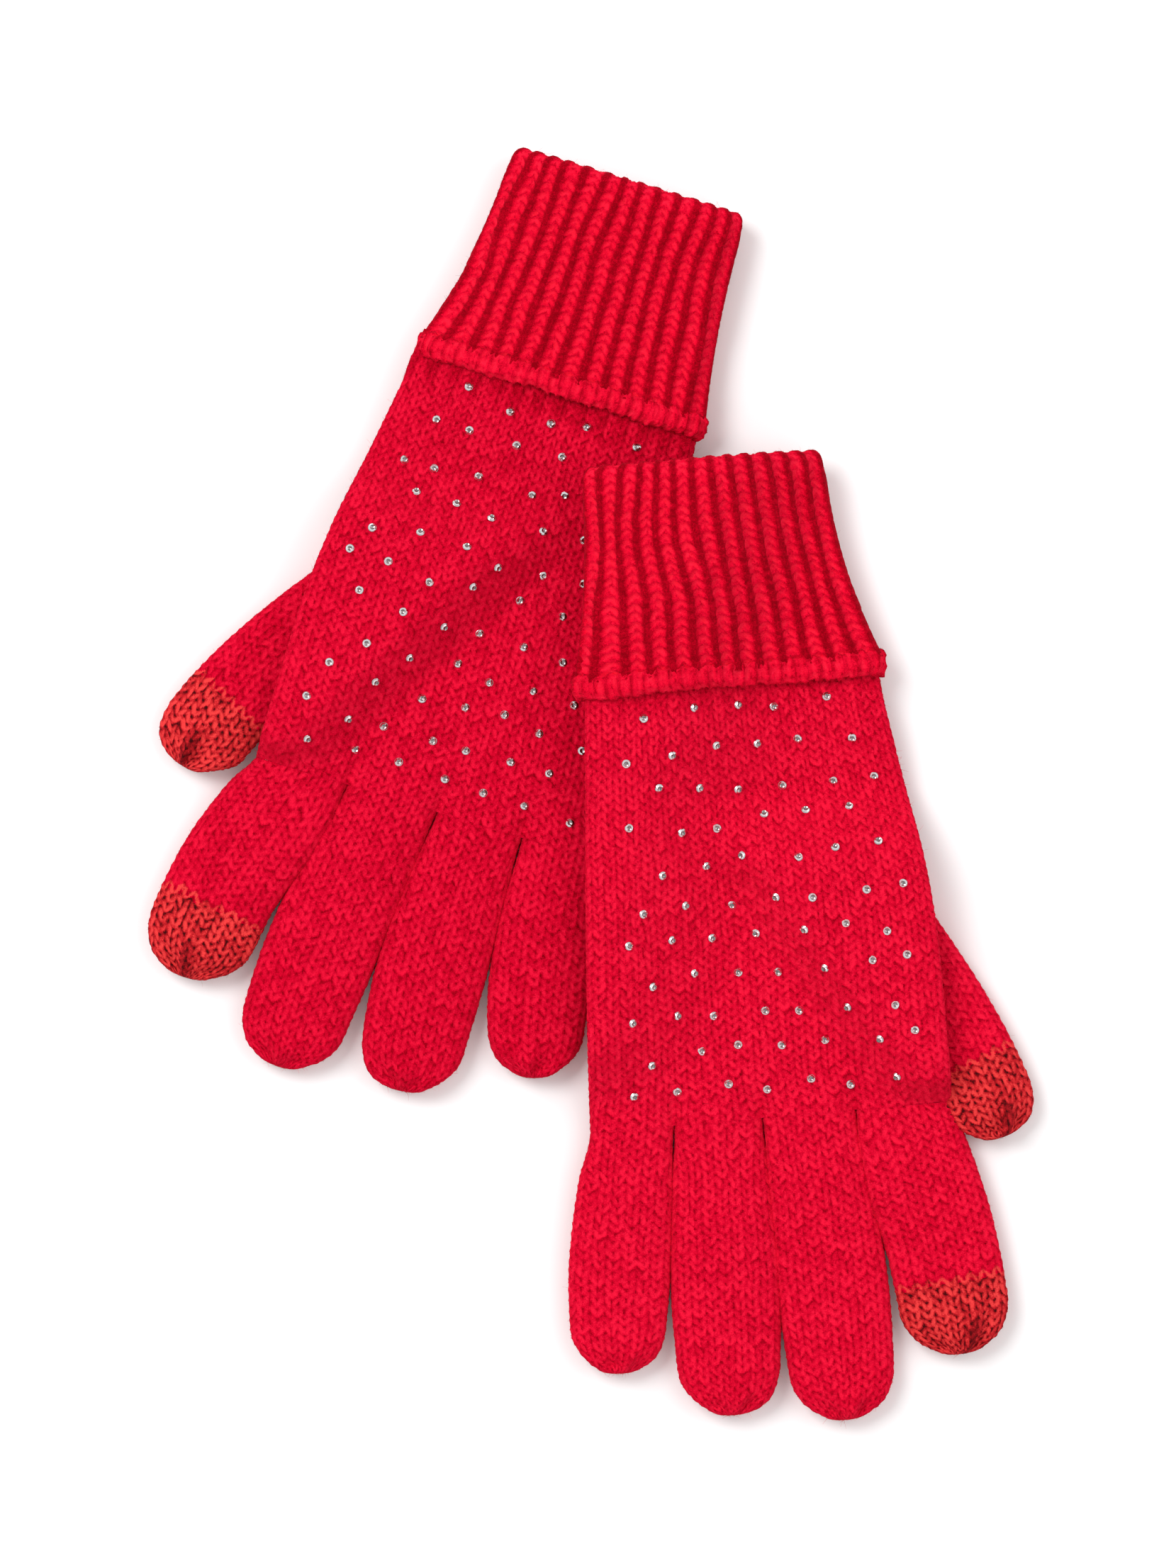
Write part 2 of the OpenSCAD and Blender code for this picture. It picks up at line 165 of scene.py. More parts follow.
# ---- The gloves' own frames ----
class Glove:
    """One glove's frame, its sizes read from the CAD, and how it lies over what is under it."""

    def __init__(self, side):
        self.side = side
        self.number = SIDES.index(side)
        self.body = f"{side}_glove"
        knuckle = JOINTS[f"{side}_middle_finger_bend"]
        axis = np.array(knuckle["axis"][:2])
        axis /= np.linalg.norm(axis)
        self.ex = axis * (-1 if side == "left" else 1)
        self.ey = np.array([-axis[1], axis[0]])
        self.origin = np.array(knuckle["pos_m"][:2]) / MM
        self.half_t = knuckle["pos_m"][2] / MM
        hand = self.node("hand")
        front = hand[hand[:, 1] < hand[:, 1].min() + 1]
        # The origin moves to the middle of the knuckle line, so the hand is read again from there.
        self.origin = self.origin + self.ex * (front[:, 0].min() + front[:, 0].max()) / 2
        hand = self.node("hand")
        front = hand[hand[:, 1] < hand[:, 1].min() + 1]
        back = hand[hand[:, 1] > hand[:, 1].max() - 1]
        self.half_hand = front[:, 0].max()
        self.wrist = (back[:, 0].min(), back[:, 0].max())
        self.hand_len = hand[:, 1].max()
        turnback, hem = self.node("cuff_turnback"), self.node("cuff_hem")
        self.cuff_end = turnback[:, 1].max()
        self.hem_start = hem[:, 1].min()
        top = turnback[turnback[:, 1] > self.cuff_end - 3]
        low = turnback[turnback[:, 1] < turnback[:, 1].min() + 1]
        self.top_edge = (top[:, 0].min(), top[:, 0].max())
        self.hem_edge = (low[:, 0].min(), low[:, 0].max())
        # Heights come from the left glove, which lies flat on the table.
        turnback_box, cuff_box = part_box("left_cuff_turnback"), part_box("left_cuff")
        self.cuff_z = (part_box("left_cuff_hem")[1][2] / MM) / 2
        self.cuff_half = (turnback_box[1][2] - turnback_box[0][2]) / MM / 2
        self.cuff_inner = (cuff_box[1][2] - cuff_box[0][2]) / MM / 2
        thumb = JOINTS[f"{side}_thumb_spread"]["pos_m"]
        self.thumb_root = self.local(np.array([thumb]) / MM)[0][:2]
        self.thumb_t = 2 * thumb[2] / MM
        self.roots = {}
        for name in FINGERS:
            root = np.array([JOINTS[f"{side}_{name}_finger_bend"]["pos_m"]]) / MM
            self.roots[name] = self.local(root)[0][0]

    def local(self, points):
        """Points in the row frame, in millimetres, to the glove's frame."""
        d = points[:, :2] - self.origin
        return np.column_stack([d @ self.ex, d @ self.ey, points[:, 2]])

    def node(self, name):
        """Corners of one of the glove's CAD nodes, in the glove's frame."""
        mesh = frame["nodes"][f"{self.side}_{name}"].data
        return self.local(np.array([v.co for v in mesh.vertices], float) / MM)

    def place(self, p):
        """Points in the glove's frame, in millimetres, to metres in the row frame."""
        flat = self.origin + p[..., 0:1] * self.ex + p[..., 1:2] * self.ey
        return np.concatenate([flat, p[..., 2:3]], axis=-1) * MM

    # How high the knit lies over what is under it.
    def rise_to_cuff(self, v):
        return (self.cuff_z - self.half_t) * ease(self.hand_len - 32, self.hand_len - 9, v)

    def over_thumb(self, u, v):
        inner = THUMB_EDGE - THUMB_SLOPE * (v - 5)
        behind = 1 - ease(self.thumb_root[1] + 13, self.thumb_root[1] + 36, v)
        return (self.thumb_t + 0.5) * ease(inner - 21, inner - 2, u) * ease(-4, 7, v) * behind

    def over_left(self, u, v):
        if self.side == "left":
            return 0 * u
        edge = LEFT_EDGE + LEFT_SLOPE * v
        cuff = ease(self.hand_len + 4, self.hand_len + 34, v)
        height = 2 * self.half_t + LEFT_GAP + (self.cuff_z - self.half_t) * 1.25 * cuff
        return height * (1 - ease(edge + 2, edge + 40, u)) * ease(1, 27, v)

    def lift(self, u, v):
        return self.rise_to_cuff(v) + self.over_thumb(u, v) + self.over_left(u, v)

    def cuff_lift(self, u, v):
        return self.over_thumb(u, v) + self.over_left(u, v)

    # Outlines seen from above.
    def hand_edges(self, v):
        h = self.half_hand
        left = -h + (h + self.wrist[0]) * (np.clip(v, 0, None) / self.hand_len) ** 1.2
        full = ease(38, self.hand_len + 36, self.hand_len)
        right = h + (self.wrist[1] - h) * ease(38, self.hand_len + 36, v) / full
        return left, right

    def cuff_edges(self, v):
        t = np.clip((self.cuff_end - v) / (self.cuff_end - self.hem_start - HEM_H), 0, 1.05) ** 2.1
        if self.side == "left":
            t = t * 0.8
        left = self.top_edge[0] + (self.hem_edge[0] - self.top_edge[0]) * t
        right = self.top_edge[1] + (self.hem_edge[1] - self.top_edge[1]) * t
        return left, right


# ---- Digits ----
class Digit:
    """A finger or a thumb: a middle line with a width and a height at every s along it."""

    def __init__(self, glove, name):
        self.glove, self.name = glove, name
        self.part = f"{glove.side}_{name}" + ("" if name == "thumb" else "_finger")
        self.body = f"{self.part}_body"
        self.first, self.last = HEADINGS[name][glove.number]
        self.half = HEADINGS[name][2] / 2
        if name == "thumb":
            self.root = np.array(glove.thumb_root)
            self.power, self.base, self.half_t = 2.0, self.half, glove.thumb_t / 2
            self.length = THUMB_LENGTH
        else:
            self.power, self.half_t = 1.3, glove.half_t
            order = [glove.roots[f] for f in FINGERS]
            k = FINGERS.index(name)
            low = -glove.half_hand if k == 0 else (order[k - 1] + order[k]) / 2
            high = glove.half_hand if k == 3 else (order[k] + order[k + 1]) / 2
            self.root = np.array([(low + high) / 2, 0.0])
            self.base = (high - low) / 2
            end = glove.node(f"{name}_touch_tip" if name in TOUCH else f"{name}_finger")
            self.length = self.reach(-end[:, 1].min())
        self.tip_r = self.half * 0.95
        self.top, self.flank = KNIT_GAUGE[name]
        self.wales = 2 * (self.top + self.flank)

    def reach(self, depth):
        """Length of the curved middle line that ends depth below the knuckle line."""
        length = depth
        for _ in range(8):
            self.length = length
            length += depth + self.centre(np.array([length]))[0, 1]
        return length

    def heading(self, s):
        """Direction of the middle line at s, in radians."""
        share = np.clip(s, 0, None) / self.length
        return np.radians(self.first + (self.last - self.first) * share ** self.power)

    def centre(self, s):
        """Points of the middle line, summed up from its headings."""
        steps = 24
        mid = (np.arange(steps) + 0.5) / steps
        h = self.heading(np.clip(s, 0, None)[:, None] * mid)
        u = self.root[0] + np.clip(s, 0, None) / steps * np.sin(h).sum(1)
        v = self.root[1] - np.clip(s, 0, None) / steps * np.cos(h).sum(1) - np.clip(s, None, 0)
        return np.column_stack([u, v])

    def across(self, s):
        """Direction of the rows: a finger's rows start along the knuckle line."""
        h = self.heading(s)
        return h if self.name == "thumb" else h * ease(0, 16, s)

    def fill(self, s):
        """Share of the full width that is left at s, where the tip closes."""
        t = np.clip((s - self.length + self.tip_r) / self.tip_r, 0, 1)
        return (1 - t**2.25) ** (1 / 2.25)

    def half_width(self, s):
        plain = self.base + (self.half - self.base) * ease(2, self.length * 0.55, s)
        if self.name != "thumb":
            plump = (0.3 if self.name == "index" else 1.1) * ease(2, 16, s)
            plain = plain + plump * (1 - ease(self.length * 0.6, self.length * 0.95, s))
        return plain * np.maximum(self.fill(s), 0.02)

    def half_height(self, s):
        h = self.half_t * np.maximum(self.fill(s), 0.0) ** 0.62 + 0.02
        if self.name == "thumb":
            h = h * (0.45 + 0.55 * ease(-10, 6, s))
        return h

    def stations(self, start):
        """Places along the digit at equal steps over its skin, so the rows keep their height to the tip."""
        straight = np.linspace(start, self.length - self.tip_r, 80)
        curved = self.length - self.tip_r * (1 - np.sin(np.linspace(0, np.pi / 2, 70)[1:]))
        s = np.concatenate([straight, curved])
        w = self.half_width(s)
        skin = np.concatenate([[0], np.cumsum(np.hypot(np.diff(s), 0.8 * np.diff(w)))])
        rows = int(round(skin[-1] / FINGER_COURSE)) * ALONG
        at = np.linspace(0, skin[-1], rows + 1)
        return np.interp(at, skin, s), at / FINGER_COURSE


def section(a, up, down, power):
    """Points round a closed section, and the share of the way round of each.

    They go from the little-finger side over the top; each half takes half of the share."""
    t = np.linspace(0, 2 * np.pi, SECTION + 1)
    cos, sin = -np.cos(t), np.sin(t)
    x = a * np.sign(cos) * np.abs(cos) ** (2 / power)
    z = np.where(sin >= 0, up, down) * np.sign(sin) * np.abs(sin) ** (2 / power)
    way = np.concatenate([[0], np.cumsum(np.hypot(np.diff(x), np.diff(z)))])
    half = SECTION // 2
    over = 0.5 * way / way[half]
    under = 0.5 + 0.5 * (way - way[half]) / (way[-1] - way[half])
    return x, z, np.where(np.arange(SECTION + 1) <= half, over, under)


def digit_skin(d):
    """Grid of points over a digit with its stitch coordinates: rows along it, columns round it."""
    is_thumb = d.name == "thumb"
    s, course = d.stations(-THUMB_RUN_IN if is_thumb else 0.0)
    if is_thumb:
        course = course - THUMB_RUN_IN / FINGER_COURSE
    columns = d.wales * ACROSS
    w = np.arange(columns + 1) / ACROSS
    centre, turn = d.centre(s), d.across(s)
    half_w, half_h = d.half_width(s), d.half_height(s)
    # The edges of the back and of the palm side, in stitches round the digit and as shares of the root.
    edge, middle = d.flank / 2, d.wales / 2
    knots = np.array([0, edge, edge + d.top, middle, middle + edge, middle + edge + d.top, d.wales])
    even = knots / d.wales
    f0 = 0.035
    at_root = np.array([0, f0, 0.5 - f0, 0.5, 0.5 + f0, 1 - f0, 1])
    soft_seed = 70 if is_thumb else 60 + FINGERS.index(d.name)
    points = np.zeros((len(s), columns + 1, 3))
    for r in range(len(s)):
        x, z, share = section(half_w[r], half_h[r] - 0.35, half_h[r] - 0.65, 2.7)
        mix = 1.0 if is_thumb else float(ease(0, 15, s[r]))
        f = np.interp(w, knots, at_root * (1 - mix) + even * mix)
        xs, zs = np.interp(f, share, x), np.interp(f, share, z)
        soft = 0.35 * noise(np.array(s[r] / 17.0), np.array(1.7), soft_seed)
        points[r, :, 0] = centre[r, 0] + xs * np.cos(turn[r])
        points[r, :, 1] = centre[r, 1] + xs * np.sin(turn[r])
        points[r, :, 2] = d.half_t + zs + soft * np.clip(zs, 0, None) / d.half_t * ease(0, 12, s[r])
        if d.name == "index":
            # The index finger lies on the edge of the middle one.
            over = ease(0, 9, s[r]) * (1 - ease(d.length * 0.25, d.length * 0.62, s[r]))
            side = ease(0, 1, -xs / half_w[r])
            points[r, :, 2] += INDEX_RAISE * over * side * np.clip(zs / d.half_t + 0.6, 0, 1)
            points[r, :, 0] -= INDEX_SHIFT * over * side * np.cos(turn[r])
            points[r, :, 1] -= INDEX_SHIFT * over * side * np.sin(turn[r])
    if is_thumb:
        points[:, :, 2] += (1.6 * (1 - ease(-THUMB_RUN_IN, 2, s)))[:, None]
    grid = points.shape[:2]
    return points, np.broadcast_to(w, grid), np.broadcast_to(course[:, None], grid), s


def normals(p, wrap):
    """Unit normals of a grid of points, which closes on itself round its columns if wrap is true."""
    if wrap:
        seam = p[:, 1:2] - p[:, -2:-1]
        du = np.concatenate([seam, p[:, 2:] - p[:, :-2], seam], axis=1)
    else:
        du = np.gradient(p, axis=1)
    dv = np.gradient(p, axis=0)
    n = np.cross(du, dv)
    return n / np.maximum(np.linalg.norm(n, axis=-1, keepdims=True), 1e-9)


def pucker(d, points, s):
    """Push along the normals where the last row of the tip is drawn together, and the crease from 0 to 1."""
    width, reach, depth = (0.22, 14, 2.3) if d.name in TOUCH else (0.16, 6, 0.9)
    columns = points.shape[1]
    angle = np.arange(columns) / (columns - 1) * 2 * np.pi
    amount = ease(d.length - 9, d.length - 1.5, s)[:, None]
    pleat = 0.6 * np.cos(angle * 5 + d.half) + 0.4 * np.cos(angle * 3 + 1.3 * d.length)
    fold = np.exp(-(((angle - 1.75 - 0.25 * d.glove.number) / width) ** 2))
    deep = ease(d.length - reach, d.length - 4, s)[:, None]
    blunt = 1 - ease(d.length - 1.6, d.length, s)[:, None]
    crease = deep * fold[None, :]
    return blunt * (amount * pleat[None, :] - depth * crease) - 0.9 * (1 - blunt), crease


# ---- Meshes ----
def collection_link(obj):
    bpy.context.scene.collection.objects.link(obj)
    return obj


def strands(points, outward, keep, count, seed):
    """Loose fibres that curl out of the knit.

    Gives their points, four pairs for each, and the number of the grid point that each grows from."""
    rng = np.random.default_rng(seed)
    rows, columns = points.shape[:2]
    r, c = rng.integers(0, rows - 1, count), rng.integers(0, columns - 1, count)
    if keep is not None:
        kept = keep[r, c]
        r, c = r[kept], c[kept]
    n = outward[r, c]

    def sideways():
        t = np.cross(n, rng.normal(size=n.shape))
        return t / np.linalg.norm(t, axis=1, keepdims=True)

    start = n + sideways() * rng.uniform(0.4, 2.2, (len(r), 1))
    start /= np.linalg.norm(start, axis=1, keepdims=True)
    curl, length = sideways() * rng.uniform(0.2, 1.0, (len(r), 1)), rng.uniform(0.8, 2.6, (len(r), 1))
    width = np.cross(start, n + 0.3 * rng.normal(size=n.shape))
    width *= rng.uniform(0.025, 0.05, (len(r), 1)) / np.linalg.norm(width, axis=1, keepdims=True)
    pairs = []
    for q in (0, 0.34, 0.67, 1):
        middle = points[r, c] - 0.2 * n + length * (q * start + q * q * (curl - 0.3 * n))
        pairs.append(np.stack([middle - width * (1 - 0.7 * q), middle + width * (1 - 0.7 * q)], axis=1))
    return np.stack(pairs, axis=1).reshape(-1, 3), r * columns + c


def add_map(mesh, name, across, along):
    layer = mesh.uv_layers.new(name=name)
    layer.data.foreach_set("uv", np.column_stack([across, along]).ravel().astype(np.float32))


def grid_piece(name, glove, points, keep, attributes, knit, material, outward, turned=False, fuzz=0.8):
    """A mesh from a grid of points, with fuzz loose fibres on every square millimetre of it.

    It has its own bake map and the stitch coordinates as a second map. keep picks cells of
    the grid, and None keeps them all."""
    rows, columns = points.shape[:2]
    co = glove.place(points).reshape(-1, 3)
    r, c = np.meshgrid(np.arange(rows - 1), np.arange(columns - 1), indexing="ij")
    a = (r * columns + c).ravel()
    quads = np.column_stack([a, a + 1, a + 1 + columns, a + columns])
    # The left glove's frame is mirrored, so its faces go the other way round.
    if (glove.side == "left") != turned:
        quads = quads[:, ::-1]
    if keep is not None:
        quads = quads[keep.ravel()]
    down = np.linalg.norm(points[1:, :-1] - points[:-1, :-1], axis=-1)
    area = down * np.linalg.norm(points[:-1, 1:] - points[:-1, :-1], axis=-1)
    loose, roots = strands(points, outward, keep, int(fuzz * area.sum()), len(name) + 7 * glove.number)
    k = np.arange(len(loose)).reshape(-1, 4, 2)
    k = np.stack([k[:, :-1, 0], k[:, :-1, 1], k[:, 1:, 1], k[:, 1:, 0]], axis=-1).reshape(-1, 4)
    quads = np.concatenate([quads, k + len(co)])
    source = np.concatenate([np.arange(len(co)), np.repeat(roots, 8)])
    loose = glove.place(loose)
    loose[:, 2] = np.maximum(loose[:, 2], 0)
    co = np.concatenate([co, loose])
    used = np.unique(quads)
    new = np.full(len(co), -1)
    new[used] = np.arange(len(used))
    mesh = bpy.data.meshes.new(name)
    mesh.vertices.add(len(used))
    mesh.vertices.foreach_set("co", co[used].ravel())
    mesh.loops.add(4 * len(quads))
    mesh.loops.foreach_set("vertex_index", new[quads].ravel().astype(np.int32))
    mesh.polygons.add(len(quads))
    mesh.polygons.foreach_set("loop_start", (np.arange(len(quads)) * 4).astype(np.int32))
    mesh.polygons.foreach_set("use_smooth", np.ones(len(quads), bool))
    corner = source[quads.ravel()]
    add_map(mesh, "OFBake", (corner % columns) / (columns - 1), (corner // columns) / (rows - 1))
    add_map(mesh, "Knit", knit[0].reshape(-1)[corner], knit[1].reshape(-1)[corner])
    for key, values in attributes.items():
        layer = mesh.attributes.new(key, "FLOAT", "POINT")
        layer.data.foreach_set("value", values.reshape(-1)[source[used]].astype(np.float32))
    mesh.update(calc_edges=True)
    mesh.validate()
    mesh.materials.append(material)
    return collection_link(bpy.data.objects.new(name, mesh))


def solid_piece(name, glove, verts, faces, material):
    """A flat-shaded mesh from points in the glove's frame and its faces."""
    mesh = bpy.data.meshes.new(name)
    co = glove.place(np.array(verts, float))
    mesh.from_pydata([tuple(p) for p in co], [], [f[::-1] for f in faces] if glove.side == "left" else faces)
    mesh.polygons.foreach_set("use_smooth", np.zeros(len(mesh.polygons), bool))
    mesh.update()
    mesh.materials.append(material)
    return collection_link(bpy.data.objects.new(name, mesh))


# ---- Materials ----
def principled(name):
    material = bpy.data.materials.new(name)
    material.use_nodes = True
    nodes, links = material.node_tree.nodes, material.node_tree.links
    return material, nodes, links, nodes["Principled BSDF"]


def set_inputs(node, values):
    for name, value in values.items():
        node.inputs[name].default_value = value


def knit_material(name, pit_shade, low, mid, top, fuzz, contrast=1.0, rough=0.9, sheen=0.1):
    """Yarn: painted shade between the stitches, lighter on their backs, with fibres along and over them."""
    material, nodes, links, shader = principled(name)
    height = nodes.new("ShaderNodeAttribute")
    height.attribute_name = "height"
    luck = nodes.new("ShaderNodeAttribute")
    luck.attribute_name = "luck"
    knit = nodes.new("ShaderNodeUVMap")
    knit.uv_map = "Knit"
    fibres = nodes.new("ShaderNodeTexNoise")
    set_inputs(fibres, {"Scale": 5.0, "Detail": 4.0, "Roughness": 0.75, "Distortion": 1.5})
    stretch = nodes.new("ShaderNodeMapping")
    set_inputs(stretch, {"Scale": (2.2, 0.8, 1.0)})
    links.new(knit.outputs["UV"], stretch.inputs["Vector"])
    links.new(stretch.outputs["Vector"], fibres.inputs["Vector"])
    position = nodes.new("ShaderNodeTexCoord")
    cloud = nodes.new("ShaderNodeTexNoise")
    set_inputs(cloud, {"Scale": 1500.0, "Detail": 3.0, "Roughness": 0.8, "Distortion": 1.5})
    links.new(position.outputs["Object"], cloud.inputs["Vector"])
    broad = nodes.new("ShaderNodeTexNoise")
    set_inputs(broad, {"Scale": 28.0, "Detail": 2.0})
    links.new(position.outputs["Object"], broad.inputs["Vector"])

    def mix_value(a, factor, b):
        """The output a times the factor, plus b, which is a number or another output."""
        node = nodes.new("ShaderNodeMath")
        node.operation = "MULTIPLY_ADD"
        links.new(a, node.inputs[0])
        node.inputs[1].default_value = factor
        if isinstance(b, float):
            node.inputs[2].default_value = b
        else:
            links.new(b, node.inputs[2])
        return node.outputs[0]

    level = mix_value(height.outputs["Fac"], contrast, (1 - contrast) * 0.6)
    level = mix_value(luck.outputs["Fac"], 0.07, level)
    level = mix_value(fibres.outputs["Fac"], 0.7, level)
    level = mix_value(cloud.outputs["Fac"], fuzz, level)
    level = mix_value(broad.outputs["Fac"], 0.12, level)
    # Takes off the middles of the three noises, so that the level stays that of the height.
    shift = nodes.new("ShaderNodeMath")
    shift.operation = "SUBTRACT"
    links.new(level, shift.inputs[0])
    shift.inputs[1].default_value = 0.35 + fuzz / 2 + 0.06
    # The ramp paints shade: the lower the height, the darker, so the gaps between the stitches carry painted
    # shade.
    ramp = nodes.new("ShaderNodeValToRGB")
    ramp.color_ramp.interpolation = "EASE"
    elements = ramp.color_ramp.elements
    elements[0].position, elements[0].color = 0.0, (*pit_shade, 1)
    elements[1].position, elements[1].color = 1.0, (*top, 1)
    for place, colour in ((0.28, low), (0.62, mid)):
        elements.new(place).color = (*colour, 1)
    links.new(shift.outputs[0], ramp.inputs["Fac"])
    links.new(ramp.outputs["Color"], shader.inputs["Base Color"])
    bump = nodes.new("ShaderNodeBump")
    set_inputs(bump, {"Strength": 0.6, "Distance": 0.0006})
    rough_height = mix_value(cloud.outputs["Fac"], 0.6, fibres.outputs["Fac"])
    links.new(rough_height, bump.inputs["Height"])
    links.new(bump.outputs["Normal"], shader.inputs["Normal"])
    set_inputs(shader, {"Roughness": rough, "Specular IOR Level": 0.02})
    set_inputs(shader, {"Sheen Weight": sheen, "Sheen Roughness": 0.45, "Sheen Tint": (1, 0.06, 0.12, 1)})
    return material


def metal_material(name, colour, rough, spread):
    """Foil or a foiled stone, with darker spots that are darker by the spread."""
    material, nodes, links, shader = principled(name)
    position = nodes.new("ShaderNodeTexCoord")
    spots = nodes.new("ShaderNodeTexNoise")
    spots.inputs["Scale"].default_value = 2500.0
    links.new(position.outputs["Object"], spots.inputs["Vector"])
    ramp = nodes.new("ShaderNodeValToRGB")
    elements = ramp.color_ramp.elements
    darker = [c * (1 - spread) for c in colour]
    elements[0].position, elements[0].color = 0.35, (*darker, 1)
    elements[1].position, elements[1].color = 0.65, (*colour, 1)
    links.new(spots.outputs["Fac"], ramp.inputs["Fac"])
    links.new(ramp.outputs["Color"], shader.inputs["Base Color"])
    set_inputs(shader, {"Metallic": 1.0, "Roughness": rough})
    return material


# Each yarn has four colours, from the painted shade between the stitches to their backs. The two gloves'
# reds are lit and shaded copies of one yarn: the left one's darker colours are painted shade.
RED_RIGHT = knit_material(
    "red_knit_right",
    (0.22, 0.0, 0.005),
    (0.45, 0.0003, 0.012),
    (0.73, 0.0018, 0.027),
    (0.97, 0.0105, 0.05),
    fuzz=1.6,
    contrast=0.7,
    sheen=0.2,
)
# The left glove's darker copy of the same yarn: painted shade.
RED_LEFT_SHADED = knit_material(
    "red_knit_left",
    (0.2, 0.0, 0.004),
    (0.41, 0.0002, 0.01),
    (0.67, 0.0012, 0.024),
    (0.9, 0.008, 0.045),
    fuzz=1.6,
    contrast=0.7,
    sheen=0.16,
)
RED = {"right": RED_RIGHT, "left": RED_LEFT_SHADED}
RIB = knit_material(
    "red_rib",
    (0.26, 0.0, 0.005),
    (0.50, 0.0003, 0.012),
    (0.86, 0.0032, 0.032),
    (1.0, 0.017, 0.056),
    fuzz=1.4,
    contrast=0.95,
    sheen=0.22,
)
YARN_TOUCH = knit_material(
    "touch_knit",
    (0.05, 0.004, 0.005),
    (0.25, 0.006, 0.009),
    (0.60, 0.016, 0.023),
    (0.93, 0.058, 0.058),
    fuzz=1.4,
    contrast=1.12,
    rough=0.7,
    sheen=0.06,
)
SILVER = metal_material("stone_facets", (0.95, 0.95, 0.96), 0.12, 0.1)
DARK = metal_material("stone_heart", (0.42, 0.36, 0.36), 0.18, 0.6)
FOIL = metal_material("stone_foil", (0.62, 0.6, 0.62), 0.3, 0.3)


# ---- Pieces of a glove ----
def knit_attributes(height, luck):
    return {"height": height, "luck": luck}


def finish_piece(piece, body, slot, *nodes):
    """Hides the CAD nodes that the piece stands in for, and hangs it on its body. A piece that rides no
    single body passes None.
    """
    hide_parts(*nodes)
    if body is not None:
        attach(piece, body)


def knitted(points, w, c, seed, amp, **kind):
    """Pushes the points of a closed grid out by the stitches on them.

    Gives the points, the heights, the courses, the random numbers and the normals."""
    height, course, luck = plain_knit(w, c, seed, **kind)
    n = normals(points, True)
    facing = np.abs(n[..., 2])
    amp = amp * (0.45 + 0.55 * facing)
    return points + n * (amp * (height - 0.6))[..., None], on_flank(height, facing), course, luck, n


def on_flank(height, facing):
    """Lifts the painted shade between the stitches on sides that face away from above, so the gaps don't
    show dark along the edges.
    """
    return height + (0.75 - height) * 0.6 * (1 - facing)


def bend_line(glove, digit):
    """Start and end of a stretch across the root of a digit."""
    if digit.name == "thumb":
        h = float(digit.heading(np.array([0.0]))[0])
        d = np.array([math.sin(h), -math.cos(h)])
        a, b = digit.root - d * 6, digit.root + d * 8
    else:
        a, b = digit.root + np.array([0, 1.5]), digit.root - np.array([0, 11.0])
    ends = glove.place(np.array([[a[0], a[1], digit.half_t], [b[0], b[1], digit.half_t]]))
    return Vector(ends[0]), Vector(ends[1])


def make_digit(glove, digit):
    """The knit of a digit, in two pieces where it has a touch tip. Gives its grid without the stitches."""
    base, w, c, s = digit_skin(digit)
    seed = 11 + 17 * glove.number + 3 * len(digit.name)
    push, crease = pucker(digit, base, s)
    base = base + normals(base, True) * push[..., None]
    fade = ease(0, 3, digit.length + 0.5 - s)[:, None]
    has_touch = digit.name in TOUCH
    first = (digit.length - TOUCH[digit.name]) / FINGER_COURSE if has_touch else math.inf
    is_touch = c > first
    amp = (YARN * np.where(is_touch, 1.3, 1.0)) * (0.35 + 0.65 * fade)
    wander = np.where(is_touch, 0.7, 1.0)
    half_wid = np.where(is_touch, 0.74, 0.77)
    points, height, course, luck, n = knitted(base, w, c, seed, amp, wander=wander, half_wid=half_wid)
    points[:, -1] = points[:, 0]
    part, touch_part = digit.part, f"{glove.side}_{digit.name}_touch"
    pieces = [(f"{part}_knit", None, RED[glove.side], "red_knit", part, height, 0.8)]
    if has_touch:
        cell = (course[:-1, :-1] + course[1:, :-1] + course[:-1, 1:] + course[1:, 1:]) / 4
        tip = cell >= round(first)
        # Painted shade: the stitch level is darkened along the tip's fold.
        crease_shade_level = np.clip(height, 0, 1) * (1 - 0.55 * crease)
        pieces = [
            (f"{part}_knit", ~tip, RED[glove.side], "red_knit", part, height, 0.8),
            (f"{touch_part}_knit", tip, YARN_TOUCH, "touch_knit", f"{touch_part}_tip", crease_shade_level, 0.2),
        ]
    for name, keep, material, slot, node, level, fuzz in pieces:
        marks = knit_attributes(level, luck)
        piece = grid_piece(name, glove, points, keep, marks, (w, c), material, n, fuzz=fuzz)
        finish_piece(piece, None, slot, node)
        bend_line(glove, digit)
        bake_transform(piece)
    return base


def hand_section(glove, v, w, total, top):
    """A row of points over the back (top) or the palm of the hand at v, little-finger side first."""
    left, right = glove.hand_edges(v)
    to_cuff = float(ease(glove.hand_len - 32, glove.hand_len - 9, v))
    half_t = glove.half_t + (glove.cuff_inner - glove.half_t) * to_cuff
    x, z, share = section((right - left) / 2, half_t - 0.35, half_t - 0.6, 3.6)
    f = w / total * 0.5
    if not top:
        f = 1 - f
    xs, zs = np.interp(f, share, x) + (left + right) / 2, np.interp(f, share, z)
    vs = np.full_like(xs, v)
    return np.column_stack([xs, vs, glove.half_t + zs + glove.lift(xs, vs)])


def root_row(digits, top):
    """The row that the hand shares with the four fingers."""
    row = []
    for k, digit in enumerate(digits):
        half_flank = digit.flank / 2
        start = 0 if k == 0 else half_flank
        stop = digit.wales / 2 if k == 3 else half_flank + digit.top
        lo, hi = int(round(start * ACROSS)), int(round(stop * ACROSS))
        points = digit.first_row if top else digit.first_row[::-1]
        row.append(points[lo : hi + (1 if k == 3 else 0)])
    return np.concatenate(row)


